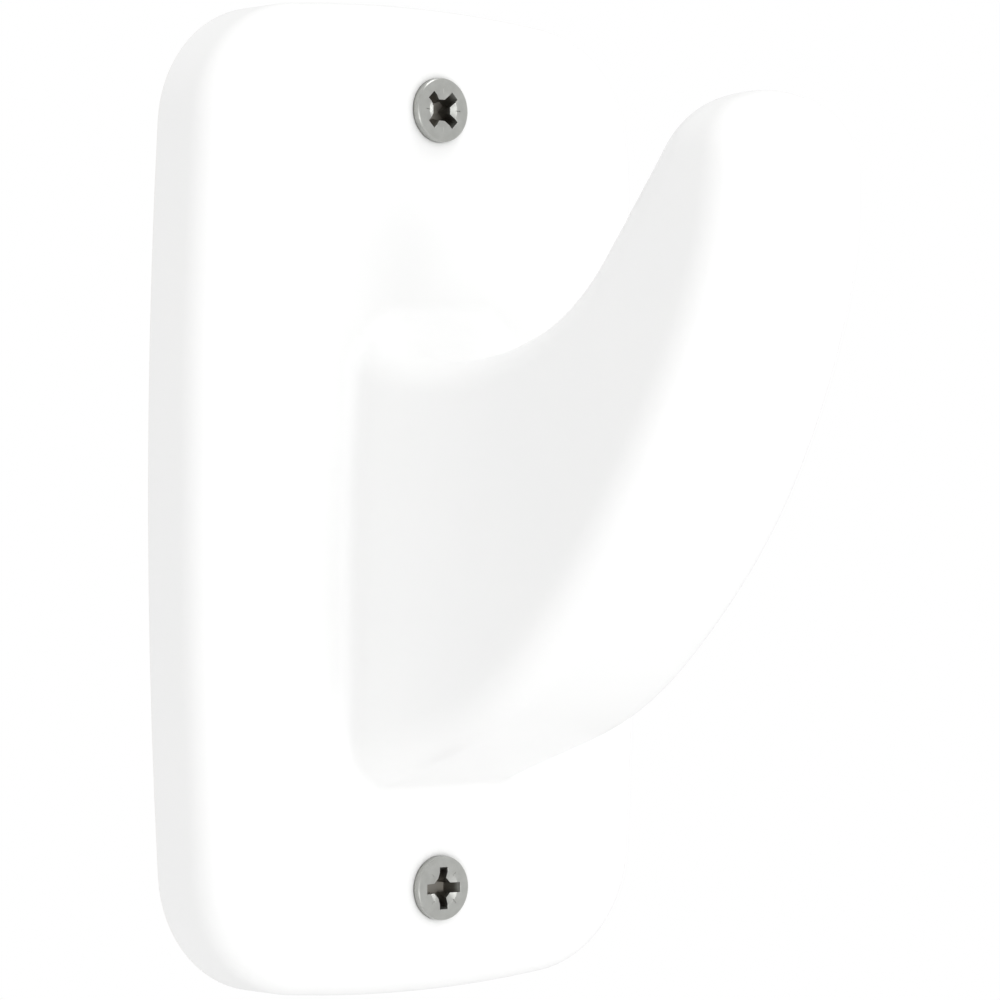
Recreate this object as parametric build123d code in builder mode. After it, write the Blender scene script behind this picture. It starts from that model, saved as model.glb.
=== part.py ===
from build123d import *
import os
from math import cos, radians, sin, tan

# Porcelain wall hook: one fired piece, a bowed plate with a horn growing out of it,
# held to the wall by two countersunk wood screws.
# Millimetres. Origin at the middle of the plate's back, wall plane at Y = 0,
# front towards -Y, +X to the right, +Z up.

# Plate
plate_width = 69.0
plate_height = 120.0
plate_thickness = 11.5
side_bow = 2.3             # the long sides bulge this far beyond their ends
end_bow = 2.7              # the short ends bulge this far beyond theirs
corner_radius = 15.5
plate_draft = 1.0          # degrees, so that the plate leaves its mould
front_round = 5.0

# Horn, side view: depth is measured out from the wall, height from the plate's middle
saddle_depth = 26.0        # lowest point of the saddle
saddle_height = 16.0
saddle_radius_wall = 28.0  # from the lowest point back towards the plate
saddle_turn_wall = 19.0
flare_radius = 8.5         # where the saddle runs up the plate
flare_turn = 60.0
saddle_radius_horn = 45.0  # from the lowest point out along the horn
saddle_turn_horn = 19.0
throat_radius = 25.5       # tighter bend below the rising tip
throat_turn = 33.8
nose_reach = 9.3           # foremost point, out from the inner side at the tip's height
nose_drop = 8.5            # foremost point, below the tip's top
nose_radius = 46.0
nose_back_radius = 14.0    # from the foremost point up and back over the tip
nose_back_turn = 50.0
nose_turn = 21.8
belly_radius = 100.1
belly_turn = 28.0
heel_radius = 46.9
heel_turn = 21.3

# Horn, front view
horn_width = 27.2
taper_start = -6.0         # height where the sides start to draw in
taper_blend_radius = 150.0
taper_angle = 4.3
tip_height = 44.5
crown_radius = 15.0        # across the top of the tip
shoulder_radius = 8.0      # from the crown into the sides

# Horn, edges
rim_round = 5.0            # both long edges and round the tip
root_fillet = 2.0          # where the horn grows out of the plate
root_embed = 5.0           # depth of the horn's root inside the plate

# Back of the casting
land_width = 6.0           # flat strip down each side that bears on the wall
pad_radius = 10.0          # flat all round each screw hole at least this far
relief_depth = 1.2         # shallow sunk field between the screws
relief_corner = 8.0
core_wall = 9.0            # porcelain left round the hollow in the horn
core_width = 15.0          # at the back, drawn in with depth so that the core pulls out
core_taper = 3.0
core_depth = 44.0
core_round = 3.0

# Screws and their holes
screw_spacing = 94.0
screw_length = 40.0
thread_diameter = 4.0      # over the crests; the thread starts at the wall plane
thread_start = 0.5         # length of its first, rising turn
shank_diameter = 3.0       # plain part, inside the porcelain
tip_length = 6.0
head_diameter = 7.7
head_land = 1.05           # upright edge of the head, down to its seat
head_chamfer = 0.12        # broken edge round its top
head_proud = 1.0           # top of the head above the plate's face
seat_gap = 0.05            # between the head and its seat in the porcelain
hole_clearance = 0.6       # round the thread, which has to pass
countersink_angle = 90.0
recess_span = 5.1
recess_arm = 1.2
recess_depth = 2.2
recess_taper = 22.0        # slope of the arms' outer ends, from the screw's axis
pit_width = 2.7            # square pit in the middle, turned 45 degrees to the arms
pit_taper = 12.0
recess_turns = (45.0, 0.0) # upper and lower screw, as they were left

half_width = plate_width / 2
half_height = plate_height / 2
half_horn = horn_width / 2
seat_slope = tan(radians(countersink_angle / 2))
seat_mouth = head_diameter - 2 * (head_proud - head_land - seat_gap) * seat_slope
head_top = plate_thickness + head_proud
front_plane = Plane.XZ.offset(plate_thickness)
screw_heights = [screw_spacing / 2, -screw_spacing / 2]

# The plate's outline, seen from the front
with BuildSketch(Plane.XZ) as plate_outline:
    with BuildLine():
        corner_x = half_width - side_bow
        corner_z = half_height - end_bow
        ThreePointArc((-corner_x, corner_z), (0, half_height), (corner_x, corner_z))
        ThreePointArc((corner_x, corner_z), (half_width, 0), (corner_x, -corner_z))
        ThreePointArc((corner_x, -corner_z), (0, -half_height), (-corner_x, -corner_z))
        ThreePointArc((-corner_x, -corner_z), (-half_width, 0), (-corner_x, corner_z))
    make_face()
    fillet(plate_outline.vertices(), corner_radius)

# The horn's side view. Local x is Y, so points in front of the wall have x < 0.
with BuildSketch(Plane.YZ) as horn_side:
    with BuildLine() as horn_curve:
        saddle_low = (-saddle_depth, saddle_height)
        wall_side = JernArc(saddle_low, (1, 0), saddle_radius_wall, saddle_turn_wall)
        flare = JernArc(wall_side @ 1, wall_side % 1, flare_radius, flare_turn)
        root_top = Line(flare @ 1, (-plate_thickness + root_embed, (flare @ 1).Y))
        horn_saddle = JernArc(saddle_low, (-1, 0), saddle_radius_horn, -saddle_turn_horn)
        throat = JernArc(horn_saddle @ 1, horn_saddle % 1, throat_radius, -throat_turn)
        inner_slope = saddle_turn_horn + throat_turn
        inner_rise = tip_height - (throat @ 1).Y
        inner_run = (inner_rise + rim_round) / sin(radians(inner_slope))
        inner_line = PolarLine(throat @ 1, inner_run, angle=180 - inner_slope)
        nose_depth = -(throat @ 1).X + inner_rise / tan(radians(inner_slope)) + nose_reach
        nose = (-nose_depth, tip_height - nose_drop)
        nose_back = JernArc(nose, (0, 1), nose_back_radius, -nose_back_turn)
        Line(inner_line @ 1, nose_back @ 1)
        nose_arc = JernArc(nose, (0, -1), nose_radius, nose_turn)
        belly = JernArc(nose_arc @ 1, nose_arc % 1, belly_radius, belly_turn)
        heel = JernArc(belly @ 1, belly % 1, heel_radius, heel_turn)
        under_slope = 90 - nose_turn - belly_turn - heel_turn
        under_run = -(heel @ 1).X - plate_thickness + root_embed
        underside = PolarLine(heel @ 1, under_run / cos(radians(under_slope)), angle=-under_slope)
        Line(underside @ 1, root_top @ 1)
    make_face()

# The horn's front view: straight below, drawn in above, crowned at the tip
with BuildSketch(Plane.XZ) as horn_front:
    with BuildLine() as finger:
        low = -half_height
        side = Line((-half_horn, low), (-half_horn, taper_start))
        blend = JernArc(side @ 1, (0, 1), taper_blend_radius, -taper_angle)
        crown = CenterArc((0, tip_height - crown_radius), crown_radius, 90, Axis(blend @ 1, blend % 1))
        Line(blend @ 1, crown @ 1)
        Line((0, tip_height), (0, low))
        Line((0, low), side @ 0)
    make_face()
    fillet(horn_front.vertices().sort_by_distance(crown @ 1)[0], shoulder_radius)
    mirror(about=Plane.YZ)

# The horn by itself: side view and front view cut each other, then the rims are rounded
with BuildPart() as horn:
    extrude(horn_side.sketch, amount=half_horn, both=True)
    extrude(horn_front.sketch, amount=2 * nose_depth, mode=Mode.INTERSECT)
    root_edges = horn.faces().sort_by(Axis.Y)[-1].edges()
    rims = horn.edges() - root_edges - horn.edges().filter_by(Axis.X) - horn.edges().filter_by(Axis.Y)
    fillet(rims, rim_round)

# The hollow that the horn is cast round, seen from the side, open at the back.
# Its lower edge follows the underside at one wall's distance.
with BuildSketch(Plane.YZ) as core_side:
    with BuildLine():
        heel_start = heel @ 1
        lift = core_wall / cos(radians(under_slope))
        floor_at_wall = heel_start.Y + heel_start.X * tan(radians(under_slope)) + lift
        floor_bend = heel_start + Vector(sin(radians(under_slope)), cos(radians(under_slope))) * core_wall
        core_top = saddle_height - core_wall
        Line((0, floor_at_wall), floor_bend)
        core_heel = JernArc(floor_bend, (-cos(radians(under_slope)), sin(radians(under_slope))),
                            heel_radius - core_wall, -heel_turn)
        core_belly = JernArc(core_heel @ 1, core_heel % 1, belly_radius - core_wall,
                             Axis((-core_depth, 0), (0, 1)))
        Line(core_belly @ 1, (-core_depth, core_top))
        Line((-core_depth, core_top), (0, core_top))
        Line((0, core_top), (0, floor_at_wall))
    make_face()

with BuildPart() as core:
    extrude(core_side.sketch, amount=core_width / 2, both=True)
    with BuildSketch(Plane.XZ):
        Rectangle(core_width, plate_height)
    extrude(amount=core_depth, taper=core_taper, mode=Mode.INTERSECT)
    open_edges = core.faces().sort_by(Axis.Y)[-1].edges()
    bends = core.edges().filter_by(Axis.X)
    front_edges = bends.filter_by_position(Axis.Y, -core_depth, -core_depth)
    fillet(core.edges() - open_edges - bends + front_edges, core_round)

# The porcelain: plate and horn in one, hollow and relieved behind, with two countersunk holes
with BuildPart() as porcelain_hook:
    extrude(plate_outline.sketch, amount=plate_thickness, taper=plate_draft)
    fillet(porcelain_hook.faces().sort_by(Axis.Y)[0].edges(), front_round)
    with Locations(*[front_plane * Pos(0, height) for height in screw_heights]):
        CounterSinkHole(thread_diameter / 2 + hole_clearance, seat_mouth / 2,
                        counter_sink_angle=countersink_angle)
    add(horn.part)
    plate_front = porcelain_hook.faces().filter_by_position(Axis.Y, -plate_thickness, -plate_thickness)
    root_edge = plate_front.sort_by(SortBy.AREA)[-1].inner_wires().sort_by(SortBy.LENGTH)[-1]
    fillet(root_edge.edges(), root_fillet)
    add(core.part, mode=Mode.SUBTRACT)
    with BuildSketch(Plane.XZ):
        RectangleRounded(plate_width - 2 * land_width, screw_spacing - 2 * pad_radius, relief_corner)
    extrude(amount=relief_depth, mode=Mode.SUBTRACT)

# The cross recess of a screw, as a plug: a pit between four arms whose ends slope in
with BuildPart() as recess:
    with BuildSketch(Plane.XZ.offset(head_top)):
        Rectangle(recess_span, recess_arm)
        Rectangle(recess_arm, recess_span)
    extrude(amount=-recess_depth)
    with BuildSketch(Plane.XZ.offset(head_top)):
        Rectangle(pit_width, pit_width, rotation=45)
    extrude(amount=-recess_depth, taper=pit_taper)
    with BuildSketch(Plane.XZ.offset(head_top)):
        Rectangle(recess_span, recess_span)
    extrude(amount=-recess_depth, taper=recess_taper, mode=Mode.INTERSECT)

# One wood screw on the Y axis: countersunk head, plain shank, threaded part, turned point
with BuildPart() as screw:
    with BuildSketch(Plane.XY) as screw_half:
        with BuildLine():
            land_end = -head_top + head_land
            cone_end = land_end + (head_diameter - shank_diameter) / 2 / seat_slope
            point = -head_top + screw_length
            Polyline((0, -head_top), (head_diameter / 2 - head_chamfer, -head_top),
                     (head_diameter / 2, -head_top + head_chamfer), (head_diameter / 2, land_end),
                     (shank_diameter / 2, cone_end), (shank_diameter / 2, -thread_start),
                     (thread_diameter / 2, 0), (thread_diameter / 2, point - tip_length),
                     (0, point), close=True)
        make_face()
    revolve(axis=Axis.Y)
    add(recess.part, mode=Mode.SUBTRACT)

with BuildPart() as mounting_screws:
    for height, turn in zip(screw_heights, recess_turns):
        with Locations(Location((0, 0, height), (0, 1, 0), turn)):
            add(screw.part)

os.makedirs("parts", exist_ok=True)
porcelain_hook.part.label = "porcelain_hook"
export_step(porcelain_hook.part, "parts/porcelain_hook.step")
mounting_screws.part.label = "mounting_screws"
export_step(mounting_screws.part, "parts/mounting_screws.step")
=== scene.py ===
import math

import bpy
from mathutils import Matrix, Vector


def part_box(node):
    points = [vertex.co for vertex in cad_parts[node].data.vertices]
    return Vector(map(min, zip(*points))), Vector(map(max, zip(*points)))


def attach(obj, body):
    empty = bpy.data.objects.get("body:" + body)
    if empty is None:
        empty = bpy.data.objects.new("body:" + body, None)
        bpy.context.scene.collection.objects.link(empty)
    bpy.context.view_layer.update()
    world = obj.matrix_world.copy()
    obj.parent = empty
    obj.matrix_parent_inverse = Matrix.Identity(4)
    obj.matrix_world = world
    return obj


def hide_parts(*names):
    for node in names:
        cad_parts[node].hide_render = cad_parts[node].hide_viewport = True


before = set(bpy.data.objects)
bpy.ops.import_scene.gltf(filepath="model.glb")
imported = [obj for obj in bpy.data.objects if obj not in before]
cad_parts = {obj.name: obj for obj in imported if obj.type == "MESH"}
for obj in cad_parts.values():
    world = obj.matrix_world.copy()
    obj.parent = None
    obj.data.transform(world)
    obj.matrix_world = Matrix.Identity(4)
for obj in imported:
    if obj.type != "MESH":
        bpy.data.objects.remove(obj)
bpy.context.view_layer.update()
bpy.ops.object.select_all(action="DESELECT")

# Camera. It stands to the left of the hook at the height of the plate's middle, about
# half a metre off, level, and looks past the plate's left edge along the horn.
camera_place = Vector((-0.289272, -0.372928, -0.001875))
camera_yaw = math.radians(39.593)      # turned from straight ahead towards the right
camera_pitch = math.radians(0.216)
camera_roll = math.radians(-0.04)

bpy.ops.object.camera_add()
camera = bpy.context.object
camera.name = "camera"
camera.data.sensor_width = 36.0
camera.data.lens = 137.75
camera.data.clip_start = 0.01
camera.matrix_world = (Matrix.Translation(camera_place)
                       @ Matrix.Rotation(-camera_yaw, 4, "Z")
                       @ Matrix.Rotation(math.radians(90) + camera_pitch, 4, "X")
                       @ Matrix.Rotation(camera_roll, 4, "Z"))
bpy.context.scene.camera = camera

# Studio floor. A pale painted floor a metre below the hook, which hangs at the height of
# a hand, broad enough to send light back up under the horn. It fades into the backdrop
# before its edges, as a studio's swept floor does.
floor_height = -1.05
floor_size = 8.0
fade_from = 2.0            # from below the hook
fade_to = 3.9

bpy.ops.mesh.primitive_plane_add(size=floor_size, location=(0, 0, floor_height))
floor = bpy.context.object
floor.name = "studio_floor"
bpy.ops.object.transform_apply(location=True, rotation=True, scale=True)
floor_paint = bpy.data.materials.new("pale_floor_paint")
floor_paint.use_nodes = True
nodes = floor_paint.node_tree.nodes
links = floor_paint.node_tree.links
paint = nodes["Principled BSDF"]
paint.inputs["Roughness"].default_value = 0.8
place = nodes.new("ShaderNodeTexCoord")
mottle = nodes.new("ShaderNodeTexNoise")
mottle.inputs["Scale"].default_value = 6.0
mottle.inputs["Detail"].default_value = 4.0
tint = nodes.new("ShaderNodeValToRGB")
tint.color_ramp.elements[0].color = (0.84, 0.84, 0.84, 1)
tint.color_ramp.elements[1].color = (0.88, 0.88, 0.88, 1)
links.new(place.outputs["Object"], mottle.inputs["Vector"])
links.new(mottle.outputs["Fac"], tint.inputs["Fac"])
links.new(tint.outputs["Color"], paint.inputs["Base Color"])
away = nodes.new("ShaderNodeVectorMath")
away.operation = "LENGTH"
links.new(place.outputs["Object"], away.inputs[0])
fade = nodes.new("ShaderNodeMapRange")
fade.interpolation_type = "SMOOTHSTEP"
fade.inputs["From Min"].default_value = math.hypot(fade_from, floor_height)
fade.inputs["From Max"].default_value = math.hypot(fade_to, floor_height)
links.new(away.outputs["Value"], fade.inputs["Value"])
nothing = nodes.new("ShaderNodeBsdfTransparent")
swept = nodes.new("ShaderNodeMixShader")
links.new(fade.outputs["Result"], swept.inputs["Fac"])
links.new(paint.outputs["BSDF"], swept.inputs[1])
links.new(nothing.outputs["BSDF"], swept.inputs[2])
links.new(swept.outputs["Shader"], nodes["Material Output"].inputs["Surface"])
floor.data.materials.append(floor_paint)

# Studio light. A white surround lights the hook evenly from all sides, and its backdrop is
# overexposed to pure white. Soft boxes add to it from the front, from above, from beside
# the camera, from the right and from low down on the left.
surround_light = 0.845
backdrop_light = 1.0

surround = bpy.data.worlds.new("white_surround")
surround.use_nodes = True
nodes = surround.node_tree.nodes
links = surround.node_tree.links
evenly = nodes["Background"]
evenly.inputs["Color"].default_value = (1, 1, 1, 1)
evenly.inputs["Strength"].default_value = surround_light
backdrop = nodes.new("ShaderNodeBackground")
backdrop.inputs["Color"].default_value = (1, 1, 1, 1)
backdrop.inputs["Strength"].default_value = backdrop_light
seen = nodes.new("ShaderNodeLightPath")
either = nodes.new("ShaderNodeMixShader")
links.new(seen.outputs["Is Camera Ray"], either.inputs["Fac"])
links.new(evenly.outputs["Background"], either.inputs[1])
links.new(backdrop.outputs["Background"], either.inputs[2])
links.new(either.outputs["Shader"], nodes["World Output"].inputs["Surface"])
bpy.context.scene.world = surround
bpy.context.scene.view_settings.view_transform = "Standard"


def soft_box(name, place, aim, size, power):
    """A square area light at a place, facing a point."""
    bpy.ops.object.light_add(type="AREA", location=place)
    light = bpy.context.object
    light.name = name
    light.data.size = size
    light.data.energy = power
    light.rotation_euler = (Vector(aim) - Vector(place)).to_track_quat("-Z", "Y").to_euler()


soft_box("front_box", (0.3, -3.0, 0.0), (0, 0, 0), 1.5, 16.0)
soft_box("top_box", (0.3, -0.8, 2.4), (0, -0.2, 0), 1.2, 15.5)
soft_box("camera_box", (-1.9, -2.3, 0.2), (0, 0, 0), 1.2, 4.2)
soft_box("right_box", (3.0, -0.2, 0.3), (0, 0, 0), 0.8, 10.0)
soft_box("low_box", (-1.6, -2.0, -1.0), (0, 0, 0), 1.2, 13.5)

# Porcelain body. Plate and horn are one piece, pressed in a mould, dipped in a clear glaze
# over a white body and fired. It stood on the raised rim of its back in the kiln, so that
# rim was wiped before firing and shows the bare, fine-grained bisque.
glaze_line = -0.00005      # the wipe took the glaze off behind this
glaze_softening = 0.0015   # the glaze rounds every edge by about this radius
crisp_behind = 0.006       # the softening fades out over this much towards the back

porcelain = bpy.data.materials.new("glazed_porcelain")
porcelain.use_nodes = True
nodes = porcelain.node_tree.nodes
links = porcelain.node_tree.links
nodes.clear()
place = nodes.new("ShaderNodeTexCoord")
axes = nodes.new("ShaderNodeSeparateXYZ")
links.new(place.outputs["Object"], axes.inputs["Vector"])

# Glaze: faint clouds of thicker and thinner glaze, edges that it has run over and softened,
# a slow ripple in its surface, and a wet gloss on top of the softer sheen of the body. The
# edge at the wiped back stays crisp.
clouds = nodes.new("ShaderNodeTexNoise")
clouds.inputs["Scale"].default_value = 45.0
clouds.inputs["Detail"].default_value = 3.0
links.new(place.outputs["Object"], clouds.inputs["Vector"])
cloud_tint = nodes.new("ShaderNodeValToRGB")
cloud_tint.color_ramp.elements[0].position = 0.3
cloud_tint.color_ramp.elements[0].color = (0.893, 0.895, 0.892, 1)
cloud_tint.color_ramp.elements[1].position = 0.7
cloud_tint.color_ramp.elements[1].color = (0.905, 0.905, 0.901, 1)
links.new(clouds.outputs["Fac"], cloud_tint.inputs["Fac"])
sheen_range = nodes.new("ShaderNodeMapRange")
sheen_range.inputs["To Min"].default_value = 0.38
sheen_range.inputs["To Max"].default_value = 0.46
links.new(clouds.outputs["Fac"], sheen_range.inputs["Value"])
ripple = nodes.new("ShaderNodeTexNoise")
ripple.inputs["Scale"].default_value = 160.0
ripple.inputs["Detail"].default_value = 1.0
links.new(place.outputs["Object"], ripple.inputs["Vector"])
run_over = nodes.new("ShaderNodeMapRange")
run_over.inputs["From Min"].default_value = -crisp_behind
run_over.inputs["From Max"].default_value = 0.0
run_over.inputs["To Min"].default_value = glaze_softening
run_over.inputs["To Max"].default_value = 0.0
links.new(axes.outputs["Y"], run_over.inputs["Value"])
softened = nodes.new("ShaderNodeBevel")
softened.samples = 6
links.new(run_over.outputs["Result"], softened.inputs["Radius"])
ripple_bump = nodes.new("ShaderNodeBump")
links.new(softened.outputs["Normal"], ripple_bump.inputs["Normal"])
ripple_bump.inputs["Strength"].default_value = 0.35
ripple_bump.inputs["Distance"].default_value = 0.00006
links.new(ripple.outputs["Fac"], ripple_bump.inputs["Height"])
glaze = nodes.new("ShaderNodeBsdfPrincipled")
glaze.inputs["Coat Weight"].default_value = 0.3
glaze.inputs["Coat Roughness"].default_value = 0.2
links.new(cloud_tint.outputs["Color"], glaze.inputs["Base Color"])
links.new(sheen_range.outputs["Result"], glaze.inputs["Roughness"])
links.new(ripple_bump.outputs["Normal"], glaze.inputs["Normal"])
links.new(ripple_bump.outputs["Normal"], glaze.inputs["Coat Normal"])

# Bisque: matt, creamy, with the darker grain of the fired clay.
grain = nodes.new("ShaderNodeTexNoise")
grain.inputs["Scale"].default_value = 2600.0
grain.inputs["Detail"].default_value = 4.0
links.new(place.outputs["Object"], grain.inputs["Vector"])
grain_tint = nodes.new("ShaderNodeValToRGB")
grain_tint.color_ramp.elements[0].position = 0.25
grain_tint.color_ramp.elements[0].color = (0.66, 0.64, 0.60, 1)
grain_tint.color_ramp.elements[1].position = 0.6
grain_tint.color_ramp.elements[1].color = (0.78, 0.765, 0.73, 1)
links.new(grain.outputs["Fac"], grain_tint.inputs["Fac"])
grain_bump = nodes.new("ShaderNodeBump")
grain_bump.inputs["Strength"].default_value = 0.6
grain_bump.inputs["Distance"].default_value = 0.00006
links.new(grain.outputs["Fac"], grain_bump.inputs["Height"])
bisque = nodes.new("ShaderNodeBsdfPrincipled")
bisque.inputs["Roughness"].default_value = 0.85
bisque.inputs["Specular IOR Level"].default_value = 0.3
links.new(grain_tint.outputs["Color"], bisque.inputs["Base Color"])
links.new(grain_bump.outputs["Normal"], bisque.inputs["Normal"])


def compared(operation, value, limit):
    """A maths node on a value and either a number or another node's output."""
    node = nodes.new("ShaderNodeMath")
    node.operation = operation
    links.new(value, node.inputs[0])
    if isinstance(limit, float):
        node.inputs[1].default_value = limit
    else:
        links.new(limit, node.inputs[1])
    return node.outputs["Value"]


# Where the glaze ends: bare behind the wiped line.
bare = compared("GREATER_THAN", axes.outputs["Y"], glaze_line)
skin = nodes.new("ShaderNodeMixShader")
finish = nodes.new("ShaderNodeOutputMaterial")
links.new(bare, skin.inputs["Fac"])
links.new(glaze.outputs["BSDF"], skin.inputs[1])
links.new(bisque.outputs["BSDF"], skin.inputs[2])
links.new(skin.outputs["Shader"], finish.inputs["Surface"])
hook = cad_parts["porcelain_hook"]
hook.data.materials.clear()
hook.data.materials.append(porcelain)

# Wood screws. Two countersunk screws, headed cold from steel wire with a pressed cross
# recess, rolled with a coarse thread and plated. They run through the plate into the wall,
# and each head stands about a millimetre proud of the porcelain.
screws_low, screws_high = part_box("mounting_screws")
head_radius = screws_high[0]
head_top = screws_low[1]
screw_point = screws_high[1]
screw_height = screws_high[2] - head_radius
head_land = 0.00105        # upright edge of the head, down to its seat
head_chamfer = 0.00012     # broken edge round its top
blank_steps = 96           # facets round the turned blank
shank_radius = 0.0015
shank_end = -0.0005
core_radius = 0.0013
ridge_base = core_radius - 0.0001      # the ridge starts inside the core, to fuse with it
crest_radius = 0.00198
thread_pitch = 0.0018
thread_root = 0.0009       # width of the ridge where it leaves the core
thread_edge = 0.00016      # width of its crest
thread_steps = 36          # facets in each turn
thread_start = 0.03        # share of its height at which the ridge begins
point_length = 0.006
point_start = screw_point - point_length
point_sharpness = 0.04     # radius left at the very point, as a share
recess_span = 0.0051       # end to end over two arms
recess_arm = 0.0012
recess_depth = 0.0022
recess_slope = math.tan(math.radians(22))
pit_width = 0.0027
pit_slope = math.tan(math.radians(12))
flare_radius = 0.0021      # the webs between the arms dip towards the pit from here
flare_slope = math.tan(math.radians(67))
flare_depth = (flare_radius - pit_width / 2) / flare_slope
flare_steps = 64
punch_overrun = 0.0003     # of each punch above the head's face
rim_burr = 0.00005         # the punch leaves the recess's rim turned over this much
recess_surround = recess_span * 0.6    # nothing but the recess's rim lies within this
painted_shade_from = recess_depth * 0.4         # painted shade: the recess's colour turns dark from here down
scribe_reach = (0.0015, 0.0026)        # from the screw's axis
scribe_width = 0.00014
scribe_side = scribe_width / math.sqrt(2)      # of the square bar that cuts it
# painted shade: the dark colour laid down in the recess
recess_painted_shade = (0.22, 0.21, 0.19, 1)
painted_shade_margin = 0.00005    # the painted shade reaches this far into the metal round the recess
screw_turns = {"upper_screw": 45.0, "lower_screw": 0.0}
cone_end = head_top + head_land + head_radius - shank_radius
same_place = 1e-7          # points closer than this are one
smooth_below = math.radians(20)        # faces that meet at less than this shade as one


def apply_modifier(piece, kind, **settings):
    """Give a piece one modifier and apply it."""
    bpy.context.view_layer.objects.active = piece
    modifier = piece.modifiers.new(kind.lower(), kind)
    for setting, value in settings.items():
        setattr(modifier, setting, value)
    bpy.ops.object.modifier_apply(modifier=modifier.name)


def select_where(piece, elements, wanted):
    """In object mode, select only those vertices, edges or faces that pass a test."""
    for kind in (piece.data.vertices, piece.data.edges, piece.data.polygons):
        kind.foreach_set("select", [False] * len(kind))
    for element in elements:
        element.select = wanted(element)


# The blank, turned along Y from the head's face to the point
bpy.ops.mesh.primitive_circle_add(vertices=blank_steps, radius=head_radius - head_chamfer,
                                  fill_type="NGON", location=(0, head_top, 0),
                                  rotation=(math.radians(90), 0, 0))
screw = bpy.context.object
screw.name = "upper_screw"
bpy.ops.object.transform_apply(location=True, rotation=True, scale=True)
bpy.ops.object.mode_set(mode="EDIT")
bpy.ops.mesh.select_all(action="SELECT")
ring_y, ring_radius = head_top, head_radius - head_chamfer
for next_y, next_radius in [(head_top + head_chamfer, head_radius),
                            (head_top + head_land, head_radius),
                            (cone_end, shank_radius),
                            (shank_end, shank_radius),
                            (shank_end + shank_radius - core_radius, core_radius),
                            (point_start, core_radius),
                            (screw_point, core_radius * point_sharpness)]:
    bpy.ops.mesh.extrude_region_move(TRANSFORM_OT_translate={"value": (0, next_y - ring_y, 0)})
    growth = next_radius / ring_radius
    bpy.ops.transform.resize(value=(growth, 1, growth), center_override=(0, next_y, 0))
    ring_y, ring_radius = next_y, next_radius
bpy.ops.mesh.select_all(action="SELECT")
bpy.ops.mesh.normals_make_consistent(inside=False)
bpy.ops.object.mode_set(mode="OBJECT")

# The thread: a ridge wound round the core, which rises in its first turn and runs out
# along the point
bpy.ops.mesh.primitive_plane_add(size=1, location=((ridge_base + crest_radius) / 2,
                                                   shank_end + thread_root, 0))
thread = bpy.context.object
thread.scale = (crest_radius - ridge_base, thread_root, 1)
bpy.ops.object.transform_apply(location=True, rotation=True, scale=True)
select_where(thread, thread.data.vertices, lambda vertex: vertex.co.x > core_radius)
bpy.ops.object.mode_set(mode="EDIT")
bpy.ops.transform.resize(value=(1, thread_edge / thread_root, 1),
                         center_override=(crest_radius, shank_end + thread_root, 0))
bpy.ops.object.mode_set(mode="OBJECT")
thread_turns = int((screw_point - shank_end - 2 * thread_root) / thread_pitch)
apply_modifier(thread, "SCREW", axis="Y", angle=math.tau, screw_offset=thread_pitch,
               iterations=thread_turns, steps=thread_steps, render_steps=thread_steps,
               use_smooth_shade=False)
for vertex in thread.data.vertices:
    radius = math.hypot(vertex.co.x, vertex.co.z)
    rise = min(1.0, max(thread_start, (vertex.co.y - shank_end) / thread_pitch))
    left = min(1.0, max(point_sharpness, (screw_point - vertex.co.y) / point_length))
    drawn_in = left * (ridge_base + (radius - ridge_base) * rise) / radius
    vertex.co.x *= drawn_in
    vertex.co.z *= drawn_in
bpy.ops.object.mode_set(mode="EDIT")
bpy.ops.mesh.select_all(action="SELECT")
bpy.ops.mesh.remove_doubles(threshold=same_place)
bpy.ops.mesh.fill_holes(sides=4)
bpy.ops.mesh.normals_make_consistent(inside=False)
bpy.ops.object.mode_set(mode="OBJECT")
apply_modifier(screw, "BOOLEAN", operation="UNION", solver="EXACT", object=thread)
bpy.data.objects.remove(thread)


def tapered_punch(width, length, slope_width, slope_length, turn):
    """A block that enters the head's face, narrower at its bottom by the given slopes."""
    middle = head_top + (recess_depth - punch_overrun) / 2
    bpy.ops.mesh.primitive_cube_add(size=1, location=(0, middle, 0))
    punch = bpy.context.object
    punch.scale = (length + 2 * punch_overrun * slope_length, recess_depth + punch_overrun,
                   width + 2 * punch_overrun * slope_width)
    bpy.ops.object.transform_apply(location=True, rotation=True, scale=True)
    select_where(punch, punch.data.vertices, lambda vertex: vertex.co.y > head_top)
    bpy.ops.object.mode_set(mode="EDIT")
    narrowed = [(across - 2 * recess_depth * slope) / (across + 2 * punch_overrun * slope)
                for across, slope in ((length, slope_length), (width, slope_width))]
    bpy.ops.transform.resize(value=(narrowed[0], 1, narrowed[1]),
                             center_override=(0, head_top + recess_depth, 0))
    bpy.ops.object.mode_set(mode="OBJECT")
    punch.rotation_euler = (0, math.radians(turn), 0)
    bpy.ops.object.transform_apply(location=True, rotation=True, scale=True)
    return punch


# The recess: two crossed slots with sloping ends, and a square pit turned between them
for width, length, slope_width, slope_length, turn in [
        (recess_arm, recess_span, 0, recess_slope, 0),
        (recess_arm, recess_span, 0, recess_slope, 90),
        (pit_width, pit_width, pit_slope, pit_slope, 45)]:
    punch = tapered_punch(width, length, slope_width, slope_length, turn)
    apply_modifier(screw, "BOOLEAN", operation="DIFFERENCE", solver="EXACT", object=punch)
    bpy.data.objects.remove(punch)

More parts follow.
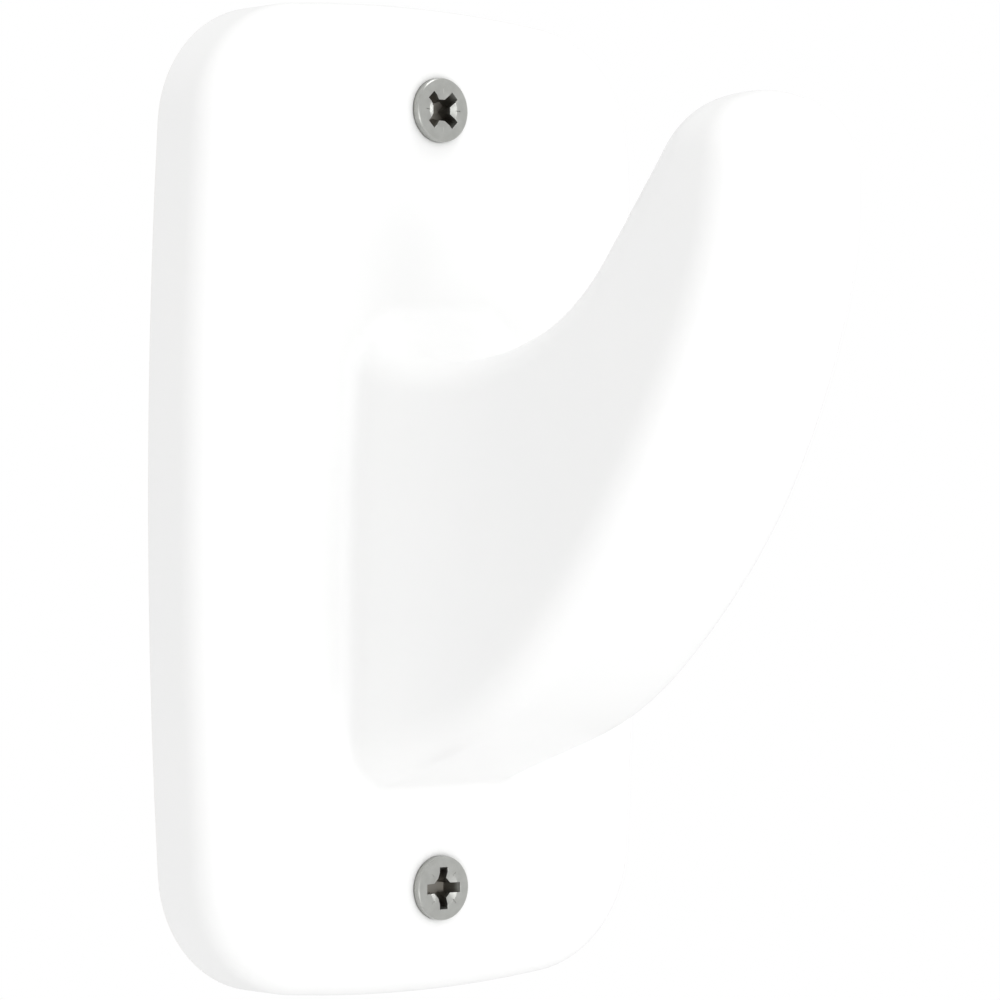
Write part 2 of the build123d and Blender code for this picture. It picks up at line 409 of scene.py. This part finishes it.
# The webs between the arms, dished towards the pit
bpy.ops.mesh.primitive_cone_add(vertices=flare_steps, radius1=pit_width / 2,
                                radius2=flare_radius + punch_overrun * flare_slope,
                                depth=flare_depth + punch_overrun,
                                location=(0, head_top + (flare_depth - punch_overrun) / 2, 0),
                                rotation=(math.radians(90), 0, 0))
flare = bpy.context.object
bpy.ops.object.transform_apply(location=True, rotation=True, scale=True)
apply_modifier(screw, "BOOLEAN", operation="DIFFERENCE", solver="EXACT", object=flare)
bpy.data.objects.remove(flare)


def on_rim(edge):
    """Whether both ends of an edge lie in the head's face and near the recess."""
    ends = [screw.data.vertices[end].co for end in edge.vertices]
    return all(abs(end.y - head_top) < same_place and math.hypot(end.x, end.z) < recess_surround
               for end in ends)


# The rim of the recess, slightly turned over by the punch
select_where(screw, screw.data.edges, on_rim)
bpy.context.view_layer.objects.active = screw
bpy.ops.object.mode_set(mode="EDIT")
bpy.ops.mesh.select_mode(type="EDGE")
bpy.ops.mesh.bevel(offset=rim_burr, segments=2, affect="EDGES")
bpy.ops.mesh.select_mode(type="VERT")
bpy.ops.object.mode_set(mode="OBJECT")

# Four short scribed lines between the arms
for quarter in range(4):
    angle = math.radians(45 + 90 * quarter)
    middle = sum(scribe_reach) / 2
    bpy.ops.mesh.primitive_cube_add(size=1, location=(middle * math.cos(angle), head_top,
                                                      middle * math.sin(angle)))
    scribe = bpy.context.object
    scribe.scale = (scribe_reach[1] - scribe_reach[0], scribe_side, scribe_side)
    on_edge = Matrix.Rotation(math.radians(45), 3, "X")
    scribe.rotation_euler = (Matrix.Rotation(-angle, 3, "Y") @ on_edge).to_euler()
    bpy.ops.object.transform_apply(location=True, rotation=True, scale=True)
    apply_modifier(screw, "BOOLEAN", operation="DIFFERENCE", solver="EXACT", object=scribe)
    bpy.data.objects.remove(scribe)

# Plated steel: rings left by turning and rolling round each screw's axis, a soft satin,
# and painted shade, a darker base colour, down in the recess
steel = bpy.data.materials.new("plated_screw_steel")
steel.use_nodes = True
nodes = steel.node_tree.nodes
links = steel.node_tree.links
metal = nodes["Principled BSDF"]
metal.inputs["Metallic"].default_value = 1.0
place = nodes.new("ShaderNodeTexCoord")
axes = nodes.new("ShaderNodeSeparateXYZ")
links.new(place.outputs["Object"], axes.inputs["Vector"])
from_middle = nodes.new("ShaderNodeMath")
from_middle.operation = "ABSOLUTE"
links.new(axes.outputs["Z"], from_middle.inputs[0])
from_axis = compared("SUBTRACT", from_middle.outputs["Value"], screw_height)
squared = compared("ADD", compared("MULTIPLY", axes.outputs["X"], axes.outputs["X"]),
                   compared("MULTIPLY", from_axis, from_axis))
radius = compared("POWER", squared, 0.5)
around = nodes.new("ShaderNodeCombineXYZ")
links.new(radius, around.inputs["X"])
links.new(axes.outputs["Y"], around.inputs["Y"])
rings = nodes.new("ShaderNodeTexNoise")
rings.inputs["Scale"].default_value = 14000.0
rings.inputs["Detail"].default_value = 2.0
links.new(around.outputs["Vector"], rings.inputs["Vector"])
mottle = nodes.new("ShaderNodeTexNoise")
mottle.inputs["Scale"].default_value = 900.0
mottle.inputs["Detail"].default_value = 5.0
links.new(place.outputs["Object"], mottle.inputs["Vector"])
plate_tint = nodes.new("ShaderNodeValToRGB")
plate_tint.color_ramp.elements[0].position = 0.3
plate_tint.color_ramp.elements[0].color = (0.41, 0.415, 0.395, 1)
plate_tint.color_ramp.elements[1].position = 0.7
plate_tint.color_ramp.elements[1].color = (0.46, 0.465, 0.445, 1)
links.new(mottle.outputs["Fac"], plate_tint.inputs["Fac"])
# Painted shade: the base colour turns dark down in the recess, where shade falls
inside = nodes.new("ShaderNodeMapRange")
inside.inputs["From Min"].default_value = head_top + flare_depth
inside.inputs["From Max"].default_value = head_top + painted_shade_from
links.new(axes.outputs["Y"], inside.inputs["Value"])
painted_shade_in_recess = compared("MULTIPLY", inside.outputs["Result"],
                     compared("LESS_THAN", radius, recess_span / 2 + painted_shade_margin))
painted_shade_in_recess = compared("MULTIPLY", painted_shade_in_recess, compared("LESS_THAN", axes.outputs["Y"],
                                                     head_top + recess_depth + painted_shade_margin))
darkened = nodes.new("ShaderNodeMixRGB")
darkened.inputs["Color2"].default_value = recess_painted_shade
links.new(painted_shade_in_recess, darkened.inputs["Fac"])
links.new(plate_tint.outputs["Color"], darkened.inputs["Color1"])
links.new(darkened.outputs["Color"], metal.inputs["Base Color"])
satin = nodes.new("ShaderNodeMapRange")
satin.inputs["To Min"].default_value = 0.26
satin.inputs["To Max"].default_value = 0.42
links.new(rings.outputs["Fac"], satin.inputs["Value"])
links.new(satin.outputs["Result"], metal.inputs["Roughness"])
ring_bump = nodes.new("ShaderNodeBump")
ring_bump.inputs["Strength"].default_value = 0.25
ring_bump.inputs["Distance"].default_value = 0.00001
links.new(rings.outputs["Fac"], ring_bump.inputs["Height"])
links.new(ring_bump.outputs["Normal"], metal.inputs["Normal"])
screw.data.materials.append(steel)

# Finished screw, copied once, and both set in their holes as they were left
bpy.ops.object.select_all(action="DESELECT")
screw.select_set(True)
bpy.context.view_layer.objects.active = screw
bpy.ops.object.shade_smooth_by_angle(angle=smooth_below)
bpy.ops.object.duplicate()
bpy.context.object.name = "lower_screw"
for name, side in (("upper_screw", 1), ("lower_screw", -1)):
    piece = bpy.data.objects[name]
    bpy.ops.object.select_all(action="DESELECT")
    piece.select_set(True)
    bpy.context.view_layer.objects.active = piece
    piece.location = (0, 0, side * screw_height)
    piece.rotation_euler = (0, math.radians(screw_turns[name]), 0)
    bpy.ops.object.transform_apply(location=True, rotation=True, scale=True)
    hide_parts("mounting_screws")
    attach(piece, "root")
